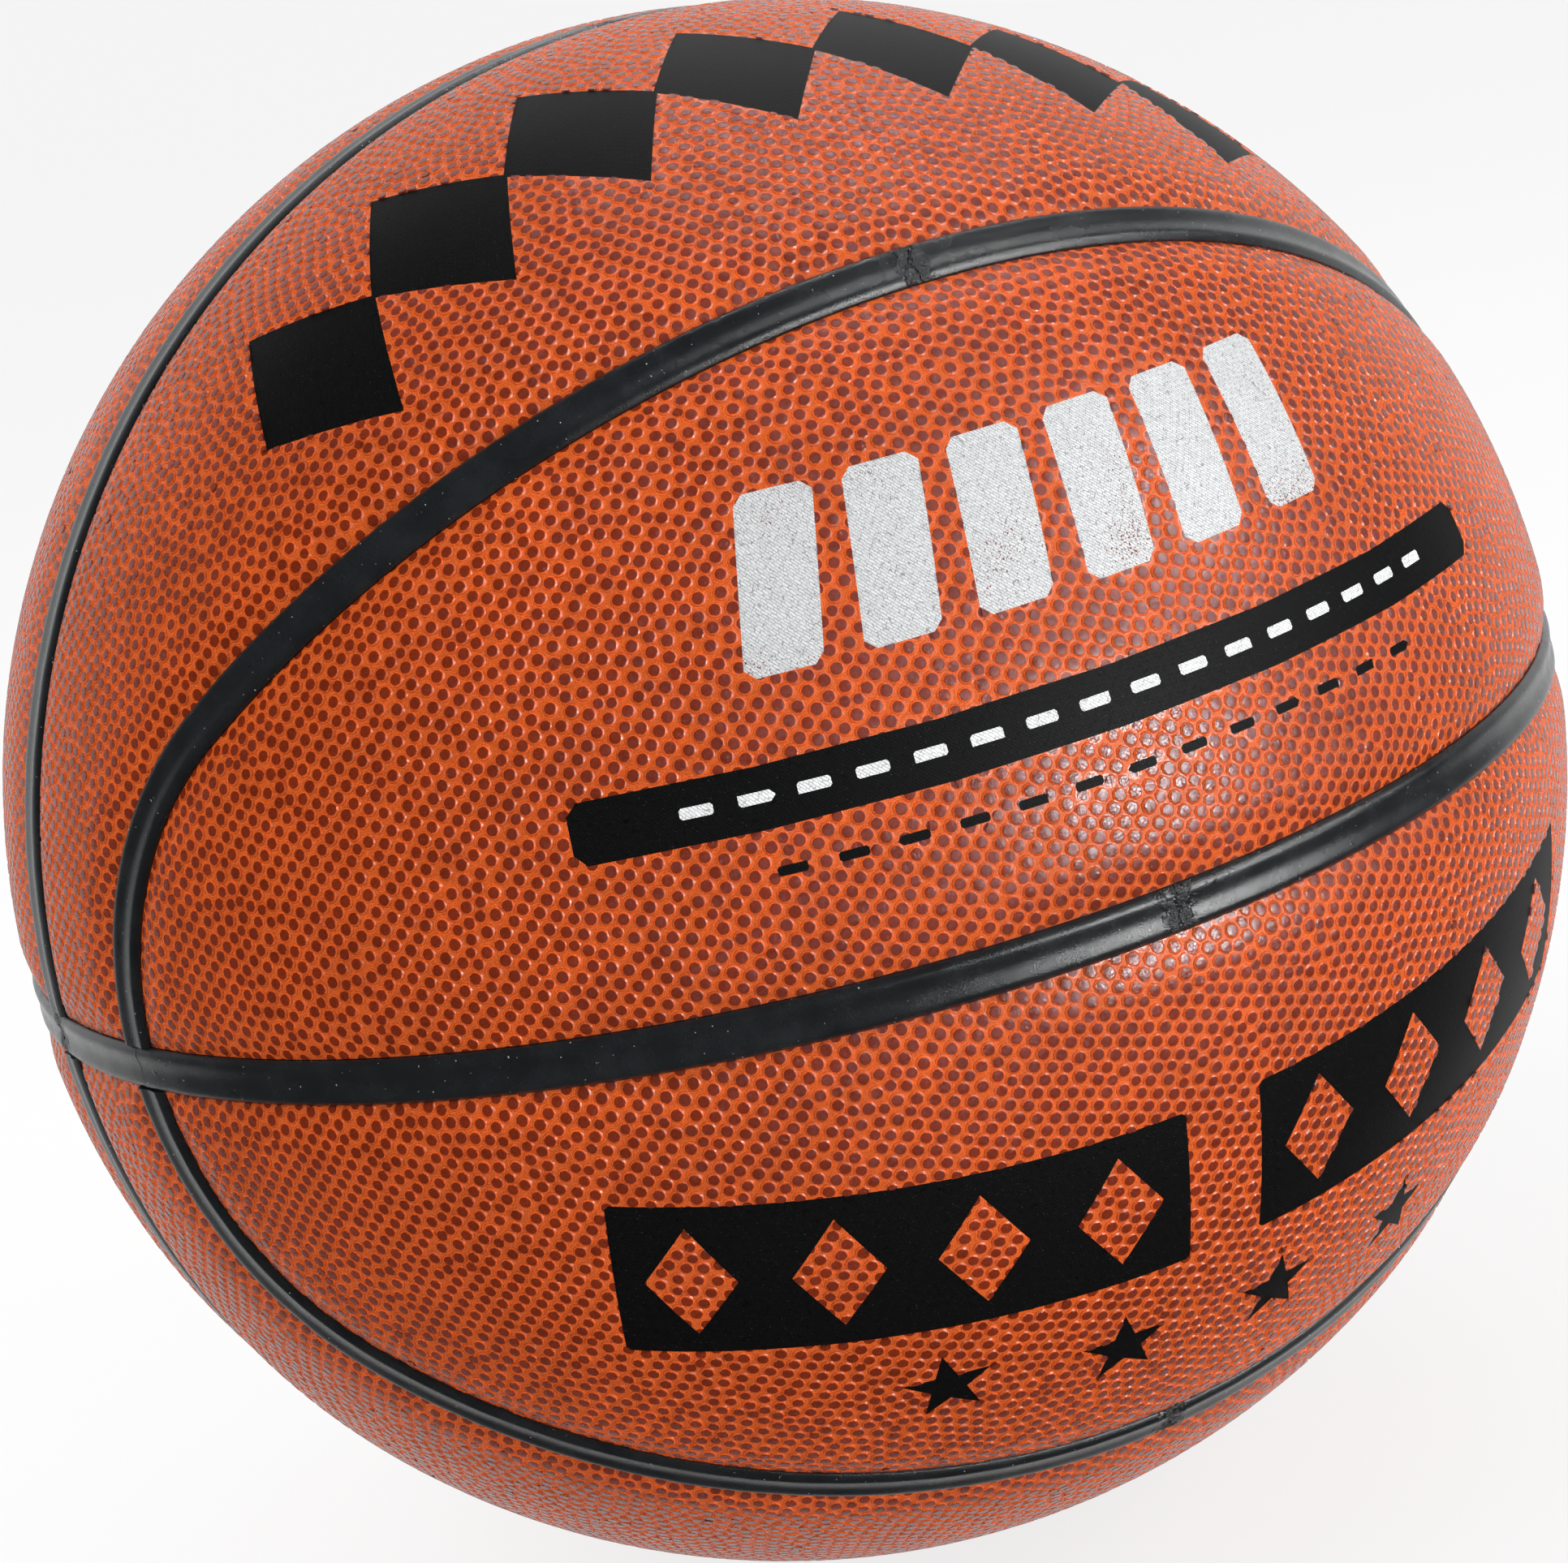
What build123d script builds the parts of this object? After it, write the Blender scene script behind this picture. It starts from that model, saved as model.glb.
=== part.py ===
from build123d import *
import math
import os

# Inflated basketball, size 7, in millimetres and degrees.
# The origin is the ball's centre. The equator seam lies in the XY plane, the meridian seam
# in the YZ plane, and a closed side loop seam runs round the +X side and round the -X side.
# Right is +X, front is -Y and upper is +Z.

# The ball's walls, from the cover inwards
ball_circumference = 760.0
panel_thickness = 1.7
carcass_thickness = 0.85
winding_thickness = 0.8
bladder_thickness = 0.6
bond_gap = 0.05

# The seam layout on the ball: the tilt of a side loop's long arcs to the equator's plane,
# and the stretch of equator between a loop and the meridian, along the ball's surface
loop_tilt = 45.0
loop_to_meridian = 30.2

# The rubber seam strips
strip_width = 6.4
strip_crest_drop = 0.5
strip_shoulder_drop = 0.75
strip_dish = 0.28
strip_crest_share = 0.66
splice_gap = 0.1

# The skived panel edges beside the strips
seam_gap = 0.15
edge_roll_width = 5.5
edge_roll_drop = 1.25
edge_roll_over_share = 0.3
edge_roll_lip_share = 0.1

# The valve, in the upper panel on the hidden side
valve_elevation = 12.0
valve_recess = 0.3
housing_radius = 4.0
housing_length = 17.0
flange_radius = 13.0
flange_rim_thickness = 0.8
flange_root_thickness = 1.8
tail_radius = 3.4
core_radius = 2.2
core_length = 16.0
core_clearance = 0.05
head_radius = 2.9
head_height = 0.9
needle_radius = 0.95
needle_depth = 9.0
needle_lead_radius = 1.5
needle_lead_depth = 0.5
slit_width = 0.2
slit_span = 2.6

# How far cutting shapes run past what they cut
cut_overrun = 2.0

# Radii of the layers, worked out from the walls
ball_radius = ball_circumference / (2 * math.pi)
panel_seat = ball_radius - panel_thickness
carcass_outer = panel_seat - bond_gap
carcass_inner = carcass_outer - carcass_thickness
winding_outer = carcass_inner - bond_gap
winding_inner = winding_outer - winding_thickness
bladder_outer = winding_inner - bond_gap
bladder_inner = bladder_outer - bladder_thickness
flange_seat = bladder_inner - bond_gap
strip_half = strip_width / 2
strip_crest = ball_radius - strip_crest_drop
strip_crest_offset = strip_half * strip_crest_share
strip_shoulder = strip_crest - strip_shoulder_drop
strip_middle = strip_crest - strip_dish
edge_offset = strip_half + seam_gap
edge_radius = ball_radius - edge_roll_drop
cut_floor = carcass_inner - cut_overrun
cut_roof = ball_radius + cut_overrun

# Each side loop is two long great-circle arcs joined by two tight turns.
# A turn is a small circle centred on the equator and tangent to both long arcs.
tilt = math.radians(loop_tilt)
link = loop_to_meridian / ball_radius
reach = math.pi / 2 - link
turn_radius = math.atan2(
    math.sin(tilt) * math.cos(reach), 1 - math.sin(tilt) * math.sin(reach)
)
turn_bearing = reach - turn_radius
long_arc = math.atan2(math.sin(turn_bearing), math.cos(turn_bearing) * math.cos(tilt))
turn_arc = math.acos(math.sin(tilt) * math.sin(turn_bearing) / math.cos(turn_radius))
overrun_arc = math.degrees(cut_overrun / ball_radius)
splice_arc = math.degrees(splice_gap / 2 / ball_radius)

centre = Vector(0, 0, 0)
right = Vector(1, 0, 0)
left = Vector(-1, 0, 0)
front = Vector(0, -1, 0)
back = Vector(0, 1, 0)
up = Vector(0, 0, 1)
loop_middle = Vector(math.cos(tilt), 0, math.sin(tilt))
loop_pole = Vector(-math.sin(tilt), 0, math.cos(tilt))
turn_pole = Vector(math.cos(turn_bearing), math.sin(turn_bearing), 0)
turn_start = loop_middle * math.cos(long_arc) + back * math.sin(long_arc)

valve_frame = Plane(
    origin=centre,
    x_dir=(0, 1, 0),
    z_dir=(
        -math.cos(math.radians(valve_elevation)),
        0,
        math.sin(math.radians(valve_elevation)),
    ),
)


# A point of a seam's section: its distance from the ball's centre, and how far it lies
# to one side of the seam's middle plane
def section_point(radius, offset):
    return (offset, math.sqrt(radius**2 - offset**2))


# A strip's section: a seat on the carcass, straight sides, and a top with rounded shoulders
# and a shallow dish between them
def strip_section():
    foot_left = section_point(panel_seat, -strip_half)
    foot_right = section_point(panel_seat, strip_half)
    shoulder_left = section_point(strip_shoulder, -strip_half)
    shoulder_right = section_point(strip_shoulder, strip_half)
    seat = ThreePointArc(foot_left, section_point(panel_seat, 0), foot_right)
    top = Spline(
        shoulder_right,
        section_point(strip_crest, strip_crest_offset),
        section_point(strip_middle, 0),
        section_point(strip_crest, -strip_crest_offset),
        shoulder_left,
    )
    side_right = Line(foot_right, shoulder_right)
    side_left = Line(shoulder_left, foot_left)
    return make_face([seat, side_right, top, side_left])


# One half of the channel that a seam leaves in the cover: the panel's edge wall,
# then the skived edge that rolls up to the ball's surface
def channel_side(side):
    wall_foot = section_point(cut_floor, side * edge_offset)
    wall_top = section_point(edge_radius, side * edge_offset)
    roll_end = section_point(ball_radius, side * (edge_offset + edge_roll_width))
    lip_radius = ball_radius + edge_roll_drop * edge_roll_lip_share
    lip_offset = edge_offset + edge_roll_width * (1 + edge_roll_over_share)
    lip = section_point(lip_radius, side * lip_offset)
    roof = section_point(cut_roof, side * lip_offset)
    wall = Line(wall_foot, wall_top)
    roll = ThreePointArc(wall_top, roll_end, lip)
    rise = Line(lip, roof)
    return wall_foot, roof, [wall, roll, rise]


def channel_section():
    floor_left, roof_left, edge_left = channel_side(-1)
    floor_right, roof_right, edge_right = channel_side(1)
    floor = Line(floor_left, floor_right)
    roof = Line(roof_left, roof_right)
    return make_face([floor, roof] + edge_left + edge_right)


# Carries a section along a seam: round an axis through the ball's centre, from a start
# direction and through an arc in degrees
def along_seam(section, axis, start, arc):
    across = axis - start * axis.dot(start)
    plane = Plane(origin=centre, x_dir=across, z_dir=across.cross(start))
    return revolve(plane * section, Axis(centre, axis), arc)


def turned(start, axis, degrees):
    return start.rotate(Axis(centre, axis), degrees)


# A quarter of a side loop, from its splice in the middle to the equator
def loop_quarter(section, lead, overrun):
    start = turned(loop_middle, loop_pole, lead)
    long_run = along_seam(section, loop_pole, start, math.degrees(long_arc) - lead)
    turn_run = along_seam(section, -turn_pole, turn_start, math.degrees(turn_arc) + overrun)
    return long_run + turn_run


def flip_front(shape):
    return mirror(shape, about=Plane.XZ)


def flip_lower(shape):
    return mirror(shape, about=Plane.XY)


def flip_left(shape):
    return mirror(shape, about=Plane.YZ)


# A hollow ball with the hole for the valve
def layer(outer, inner):
    return Sphere(outer) - Sphere(inner) - valve_hole()


def valve_hole():
    hole = Cylinder(
        housing_radius + bond_gap,
        cut_roof,
        align=(Align.CENTER, Align.CENTER, Align.MIN),
    )
    return valve_frame * hole


# The right upper quarter of the cover before the seams are cut, open at the front and back
# poles, which lie inside the seams
def plain_quarter():
    opening = edge_offset / 2
    lowest = -math.pi / 2 + opening / ball_radius
    outer = [polar_point(ball_radius, angle) for angle in (lowest, 0, -lowest)]
    inner = [polar_point(panel_seat, angle) for angle in (lowest, 0, -lowest)]
    outline = [
        ThreePointArc(*outer),
        ThreePointArc(*inner),
        Line(inner[0], outer[0]),
        Line(inner[-1], outer[-1]),
    ]
    return revolve(make_face(outline), Axis(centre, front), 90)


def polar_point(radius, angle):
    return (radius * math.cos(angle), radius * math.sin(angle))


# The cover on the right upper quarter: one side panel inside the loop, and one centre panel
# between the loop and the meridian
def cover_quarter():
    channel = channel_section()
    half_turn = 180 + 2 * overrun_arc
    equator = along_seam(channel, up, turned(front, up, -overrun_arc), half_turn)
    meridian = along_seam(channel, left, turned(front, left, -overrun_arc), half_turn)
    loop_back = loop_quarter(channel, 0, overrun_arc)
    loop = loop_back + flip_front(loop_back)
    panels = (plain_quarter() - equator - meridian - loop).solids()
    panels.sort(key=lambda panel: panel.center().get_angle(right))
    return panels[0], panels[1]


# The rubber stem and flange that the valve core sits in, drawn round the valve's axis
def valve_housing():
    top = ball_radius - valve_recess
    bottom = top - housing_length
    root = math.sqrt(flange_seat**2 - housing_radius**2)
    rim = math.sqrt(flange_seat**2 - flange_radius**2)
    middle_radius = (housing_radius + flange_radius) / 2
    middle = math.sqrt(flange_seat**2 - middle_radius**2)
    bore = core_radius + core_clearance
    pocket = head_radius + core_clearance
    pocket_floor = top - head_height - core_clearance
    outline = [
        Polyline((bore, 0, pocket_floor), (pocket, 0, pocket_floor), (pocket, 0, top)),
        Polyline((pocket, 0, top), (housing_radius, 0, top), (housing_radius, 0, root)),
        ThreePointArc((housing_radius, 0, root), (middle_radius, 0, middle), (flange_radius, 0, rim)),
        Polyline(
            (flange_radius, 0, rim),
            (flange_radius, 0, rim - flange_rim_thickness),
            (housing_radius, 0, root - flange_root_thickness),
            (tail_radius, 0, bottom),
            (bore, 0, bottom),
            (bore, 0, pocket_floor),
        ),
    ]
    return valve_frame * revolve(make_face(outline), Axis.Z, 360)


# The self-sealing plug: a headed stem with a blind needle hole that ends in a slit
def valve_core():
    top = ball_radius - valve_recess
    bottom = top - core_length
    needle_floor = top - needle_lead_depth - needle_depth
    outline = Polyline(
        (0, 0, needle_floor),
        (needle_radius, 0, needle_floor),
        (needle_radius, 0, top - needle_lead_depth),
        (needle_lead_radius, 0, top),
        (head_radius, 0, top),
        (head_radius, 0, top - head_height),
        (core_radius, 0, top - head_height),
        (core_radius, 0, bottom),
        (0, 0, bottom),
        close=True,
    )
    plug = revolve(make_face(outline), Axis.Z, 360)
    slit_height = needle_floor - bottom + 2 * slit_width
    slit = Pos(0, 0, bottom - slit_width) * Box(
        slit_span, slit_width, slit_height, align=(Align.CENTER, Align.CENTER, Align.MIN)
    )
    return valve_frame * (plug - slit)


# The eight cover panels
def cover_panels():
    side, middle = cover_quarter()
    panels = {}
    for name, right_upper in (("side_panel", side), ("centre_panel", middle)):
        right_lower = flip_lower(right_upper)
        panels[name + "_right_upper"] = right_upper
        panels[name + "_right_lower"] = right_lower
        panels[name + "_left_upper"] = flip_left(right_upper)
        panels[name + "_left_lower"] = flip_left(right_lower)
    panels["side_panel_left_upper"] = panels["side_panel_left_upper"] - valve_hole()
    return panels


# The equator: long strips spliced in the middle of each side, and short links that carry
# the line past the side loops and the meridian
def equator_strips():
    section = strip_section()
    long_start = turned(right, up, splice_arc)
    long_back = along_seam(section, up, long_start, math.degrees(reach) - 2 * splice_arc)
    link_start = turned(right, up, math.degrees(reach) + splice_arc)
    link_back = along_seam(section, up, link_start, math.degrees(link) - 2 * splice_arc)
    strips = {}
    for name, right_back in (("equator_strip", long_back), ("equator_link", link_back)):
        right_front = flip_front(right_back)
        strips[name + "_right_back"] = right_back
        strips[name + "_right_front"] = right_front
        strips[name + "_left_back"] = flip_left(right_back)
        strips[name + "_left_front"] = flip_left(right_front)
    return strips


# The meridian's four quarters, which butt on the equator's sides
def meridian_strips():
    start = turned(up, left, splice_arc)
    whole = along_seam(strip_section(), left, start, 90 - splice_arc)
    upper_back = whole - equator_trim()
    upper_front = flip_front(upper_back)
    return {
        "meridian_strip_upper_back": upper_back,
        "meridian_strip_upper_front": upper_front,
        "meridian_strip_lower_back": flip_lower(upper_back),
        "meridian_strip_lower_front": flip_lower(upper_front),
    }


# The two side loops, each in four strips that butt on the equator's sides
def loop_strips():
    upper_back = loop_quarter(strip_section(), splice_arc, 0) - equator_trim()
    upper_front = flip_front(upper_back)
    strips = {}
    for name, upper in (("back", upper_back), ("front", upper_front)):
        lower = flip_lower(upper)
        strips["loop_strip_right_upper_" + name] = upper
        strips["loop_strip_right_lower_" + name] = lower
        strips["loop_strip_left_upper_" + name] = flip_left(upper)
        strips["loop_strip_left_lower_" + name] = flip_left(lower)
    return strips


# The slice that trims the strips that butt on the equator's sides
def equator_trim():
    return Box(2 * cut_roof, 2 * cut_roof, strip_width + 2 * splice_gap)


def whole_ball():
    pieces = {
        "bladder": layer(bladder_outer, bladder_inner),
        "thread_winding": layer(winding_outer, winding_inner),
        "carcass": layer(carcass_outer, carcass_inner),
        "valve_housing": valve_housing(),
        "valve_core": valve_core(),
    }
    pieces.update(cover_panels())
    pieces.update(equator_strips())
    pieces.update(meridian_strips())
    pieces.update(loop_strips())
    return pieces


os.makedirs("parts", exist_ok=True)
for name, piece in whole_ball().items():
    export_step(piece, "parts/" + name + ".step")
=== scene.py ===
import bpy
import math
import numpy as np
from mathutils import Matrix, Vector, noise
from mathutils.geometry import delaunay_2d_cdt


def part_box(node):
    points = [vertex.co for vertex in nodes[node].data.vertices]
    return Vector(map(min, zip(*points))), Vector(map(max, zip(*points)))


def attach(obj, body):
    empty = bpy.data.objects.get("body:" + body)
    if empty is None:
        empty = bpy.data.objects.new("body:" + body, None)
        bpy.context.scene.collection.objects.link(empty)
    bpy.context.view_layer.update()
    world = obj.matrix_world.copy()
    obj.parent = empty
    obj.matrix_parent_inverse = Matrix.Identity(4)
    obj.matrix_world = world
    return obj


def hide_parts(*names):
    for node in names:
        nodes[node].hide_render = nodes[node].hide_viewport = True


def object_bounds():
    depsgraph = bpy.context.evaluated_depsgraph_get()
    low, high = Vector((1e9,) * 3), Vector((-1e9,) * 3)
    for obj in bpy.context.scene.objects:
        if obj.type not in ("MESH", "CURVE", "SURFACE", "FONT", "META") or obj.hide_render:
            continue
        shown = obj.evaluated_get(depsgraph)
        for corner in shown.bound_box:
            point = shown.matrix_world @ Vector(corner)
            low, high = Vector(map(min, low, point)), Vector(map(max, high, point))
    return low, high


# The basketball's looks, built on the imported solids. Metres, same frame as the solids:
# right is +X, front is -Y, upper is +Z.

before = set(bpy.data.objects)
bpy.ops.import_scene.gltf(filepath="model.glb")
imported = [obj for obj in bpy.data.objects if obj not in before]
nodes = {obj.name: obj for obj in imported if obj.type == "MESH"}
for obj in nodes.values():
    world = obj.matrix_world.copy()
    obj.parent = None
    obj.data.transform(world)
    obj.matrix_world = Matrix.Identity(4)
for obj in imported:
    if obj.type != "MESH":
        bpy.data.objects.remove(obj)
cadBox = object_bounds()
mm = 0.001
sideSigns = {"right": 1, "left": -1}
levelSigns = {"upper": 1, "lower": -1}
endSigns = {"back": 1, "front": -1}


def readValues(items, key, kind=float, width=1):
    values = np.empty(len(items) * width, dtype=kind)
    items.foreach_get(key, values)
    return values if width == 1 else values.reshape(-1, width)


def nodeRadii(name):
    radii = np.linalg.norm(readValues(nodes[name].data.vertices, "co", width=3), axis=1)
    return radii.min(), radii.max()


seatRadius, ballRadius = nodeRadii("side_panel_right_lower")
stripSeat, stripCrest = nodeRadii("equator_strip_right_back")
print("frame loaded, ball radius", round(ballRadius / mm, 2), "mm")


# seam layout

seams = {
    "loopTilt": math.radians(45),  # long arcs of a side loop, from the equator's plane
    "loopToMeridian": 30.2 * mm,  # along the equator
    "stripHalf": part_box("equator_strip_right_back")[1].z,
    "gap": 0.15 * mm,  # strip to panel edge
    "spliceGap": 0.1 * mm,  # strip to strip
    "rollWidth": 7.3 * mm,  # skived panel edge
    "rollDrop": 1.25 * mm,
}
panelEdge = seams["stripHalf"] + seams["gap"]
tilt = seams["loopTilt"]
reach = math.pi / 2 - seams["loopToMeridian"] / ballRadius
turnRadius = math.atan2(math.sin(tilt) * math.cos(reach), 1 - math.sin(tilt) * math.sin(reach))
turnBearing = reach - turnRadius
longArc = math.atan2(math.sin(turnBearing), math.cos(turnBearing) * math.cos(tilt))
turnArc = math.acos(math.sin(tilt) * math.sin(turnBearing) / math.cos(turnRadius))
loopMiddle = np.array([math.cos(tilt), 0, math.sin(tilt)])
loopPole = np.array([-math.sin(tilt), 0, math.cos(tilt)])
turnPole = np.array([math.cos(turnBearing), math.sin(turnBearing), 0])
turnStart = loopMiddle * math.cos(longArc) + np.array([0, math.sin(longArc), 0])
loopEnd = np.array([math.cos(reach), math.sin(reach), 0])
sectorNormal = np.cross(turnPole, turnStart)
sectorNormal *= np.sign(sectorNormal @ loopEnd) / np.linalg.norm(sectorNormal)


def unit(points):
    return points / np.linalg.norm(points, axis=-1, keepdims=True)


def inTurn(directions):
    return np.abs(directions) @ sectorNormal > 0


def loopDistance(directions):
    # signed, along the ball: positive outside a side loop
    corner = np.abs(directions)
    straight = np.arcsin(corner @ loopPole)
    turn = np.arccos(np.clip(corner @ turnPole, -1, 1)) - turnRadius
    return ballRadius * np.where(inTurn(directions), turn, straight)


def seamDistance(directions):
    equator = ballRadius * np.arcsin(np.abs(directions[..., 2]))
    meridian = ballRadius * np.arcsin(np.abs(directions[..., 0]))
    return np.minimum(np.minimum(equator, meridian), np.abs(loopDistance(directions)))


def rollDrop(directions):
    rest = np.clip(1 - (seamDistance(directions) - panelEdge) / seams["rollWidth"], 0, 1)
    return seams["rollDrop"] * rest**2


def rolledNormals(directions):
    # normals of the cover's plain surface, tilted where it rolls down to a seam
    step = 0.2 * mm / ballRadius
    normals = directions.copy()
    for axis in np.eye(3):
        tangent = axis - directions * (directions @ axis)[..., None]
        ahead = rollDrop(unit(directions + step * tangent))
        behind = rollDrop(unit(directions - step * tangent))
        normals += axis * ((ahead - behind) / (2 * step * ballRadius))[..., None]
    return unit(normals)


# mesh helpers

def freshObject(name, mesh):
    obj = bpy.data.objects.new(name, mesh)
    bpy.context.scene.collection.objects.link(obj)
    bpy.ops.object.select_all(action="DESELECT")
    obj.select_set(True)
    bpy.context.view_layer.objects.active = obj
    return obj


def readMesh(mesh):
    # corner places, loops, and each face's first loop and number of loops
    faces = mesh.polygons
    return (readValues(mesh.vertices, "co", width=3), readValues(mesh.loops, "vertex_index", np.int32),
            readValues(faces, "loop_start", np.int32), readValues(faces, "loop_total", np.int32))


def faceCentres(mesh):
    return unit(readValues(mesh.polygons, "center", width=3))


def readLooks(mesh):
    return readValues(mesh.polygons, "material_index", np.int32)


def selectFaces(mesh, mask):
    _, loops, _, counts = readMesh(mesh)
    loopEdges = readValues(mesh.loops, "edge_index", np.int32)
    chosen = np.repeat(mask, counts)
    vertexMask = np.zeros(len(mesh.vertices), dtype=bool)
    vertexMask[loops[chosen]] = True
    edgeMask = np.zeros(len(mesh.edges), dtype=bool)
    edgeMask[loopEdges[chosen]] = True
    mesh.vertices.foreach_set("select", vertexMask)
    mesh.edges.foreach_set("select", edgeMask)
    mesh.polygons.foreach_set("select", mask)


def scoreLine(obj, mask, point, normal):
    # cuts the chosen faces along a plane and keeps both sides
    if not mask.any():
        return
    selectFaces(obj.data, mask)
    bpy.ops.object.mode_set(mode="EDIT")
    bpy.ops.mesh.bisect(plane_co=tuple(point), plane_no=tuple(normal), threshold=0.005 * mm)
    bpy.ops.object.mode_set(mode="OBJECT")


def dropFaces(obj, mask):
    selectFaces(obj.data, mask)
    bpy.ops.object.mode_set(mode="EDIT")
    bpy.ops.mesh.delete(type="FACE")
    bpy.ops.object.mode_set(mode="OBJECT")


# materials

def newMaterial(name):
    material = bpy.data.materials.new(name)
    material.use_nodes = True
    tree = material.node_tree
    return material, tree, tree.nodes["Principled BSDF"]


def feed(tree, socket, value):
    if isinstance(value, bpy.types.NodeSocket):
        tree.links.new(value, socket)
    else:
        socket.default_value = value


def addNode(tree, kind, inputs=None, **values):
    # makes a shader node, sets its properties, then links or sets its inputs
    node = tree.nodes.new("ShaderNode" + kind)
    for key, value in values.items():
        setattr(node, key, value)
    for key, value in (inputs or {}).items():
        feed(tree, node.inputs[key], value)
    return node


def calculate(tree, operation, first, second=0.0, third=0.0):
    return addNode(tree, "Math", {0: first, 1: second, 2: third}, operation=operation).outputs[0]


def rescale(tree, value, fromMin, fromMax, toMin=0.0, toMax=1.0):
    inputs = {"Value": value, "From Min": fromMin, "From Max": fromMax, "To Min": toMin, "To Max": toMax}
    return addNode(tree, "MapRange", inputs).outputs["Result"]


def blend(tree, factor, first, second, mode="MIX"):
    inputs = {0: factor, 6: first, 7: second}
    return addNode(tree, "Mix", inputs, data_type="RGBA", blend_type=mode).outputs[2]


def shaded(tree, colour, level):
    grey = addNode(tree, "CombineColor", {0: level, 1: level, 2: level}).outputs[0]
    return blend(tree, 1.0, colour, grey, "MULTIPLY")


def cellEdges(tree, place, scale):
    return addNode(tree, "TexVoronoi", {"Vector": place, "Scale": scale},
                   feature="DISTANCE_TO_EDGE").outputs["Distance"]


def millimetres(tree, vector):
    return addNode(tree, "VectorMath", {0: vector, "Scale": 1 / mm}, operation="SCALE").outputs[0]


def ownPlace(tree):
    return millimetres(tree, addNode(tree, "TexCoord").outputs["Object"])


def noiseValue(tree, place, size, detail=2.0, roughness=0.5):
    # place in millimetres, size of one blotch in metres
    inputs = {"Vector": place, "Scale": mm / size, "Detail": detail, "Roughness": roughness}
    return addNode(tree, "TexNoise", inputs).outputs["Fac"]


def bump(tree, height, distance, strength=1.0):
    inputs = {"Height": height, "Distance": distance, "Strength": strength}
    return addNode(tree, "Bump", inputs).outputs["Normal"]


def finishShader(tree, shader, **values):
    for key, value in values.items():
        feed(tree, shader.inputs[key.replace("_", " ")], value)


leather = {
    "top": (0.165, 0.0170, 0.0026, 1),
    "wall": (0.66, 0.100, 0.012, 1),
    "line": (0.33, 0.030, 0.005, 1),  # shade where a pebble meets the valley
    # the walls' orange made darker: painted shade in the hollows between pebbles
    "valley": (0.50, 0.078, 0.009, 1),
    "paintedFootGlint": (0.62, 0.115, 0.018, 1),  # painted highlight: a lighter ring round a pebble's foot
    "rim": (0.80, 0.28, 0.075, 1),  # raw cut edge of a panel
    "wrinkle": 0.22 * mm,
    "crease": 0.45 * mm,
}


def leatherMaterial():
    material, tree, shader = newMaterial("pebbledLeather")
    where = ownPlace(tree)
    spot = addNode(tree, "UVMap", uv_map="pebble").outputs["UV"]
    tint = addNode(tree, "Attribute", attribute_name="tint").outputs["Fac"]
    wrinkle = noiseValue(tree, where, leather["wrinkle"], 2, 0.5)
    stray = addNode(tree, "VectorMath", {0: where, 1: wrinkle}, operation="ADD").outputs[0]
    crease = cellEdges(tree, stray, mm / leather["crease"])
    distance = addNode(tree, "VectorMath", {0: spot}, operation="LENGTH").outputs["Value"]
    ragged = rescale(tree, noiseValue(tree, where, 0.35 * mm, 1), 0.3, 0.7, -0.035, 0.035)
    ragged = calculate(tree, "ADD", distance, ragged)
    ramp = addNode(tree, "ValToRGB", {"Fac": calculate(tree, "MULTIPLY", ragged, 0.5)})
    stops = ramp.color_ramp.elements
    stops[0].position, stops[0].color = 0.330, leather["top"]
    stops[1].position, stops[1].color = 0.55, leather["valley"]
    for position, colour in ((0.364, "wall"), (0.440, "wall"), (0.470, "line"), (0.495, "paintedFootGlint"), (0.520, "paintedFootGlint")):
        stops.new(position).color = leather[colour]
    cloud = rescale(tree, noiseValue(tree, where, 24 * mm, 2), 0.3, 0.7, 0.93, 1.06)
    grain = rescale(tree, wrinkle, 0.3, 0.7, 0.72, 1.3)
    own = rescale(tree, tint, 0, 1, 0.88, 1.12)
    level = calculate(tree, "MULTIPLY", calculate(tree, "MULTIPLY", cloud, grain), own)
    colour = shaded(tree, ramp.outputs["Color"], level)
    cut = calculate(tree, "GREATER_THAN", distance, 4.0)
    colour = blend(tree, cut, colour, leather["rim"])
    onTop = rescale(tree, distance, 0.93, 1.03, 1, 0)
    roughness = rescale(tree, onTop, 0, 1, 0.38, 0.20)
    gloss = rescale(tree, onTop, 0, 1, 0.14, 0.6)
    height = calculate(tree, "MULTIPLY_ADD", wrinkle, 0.8, rescale(tree, crease, 0, 0.12, 0, 0.4))
    height = calculate(tree, "MULTIPLY", height, rescale(tree, onTop, 0, 1, 0.35, 1.0))
    finishShader(tree, shader, Base_Color=colour, Roughness=roughness, Specular_IOR_Level=gloss,
                 Normal=bump(tree, height, 0.045 * mm, 0.9))
    return material


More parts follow.
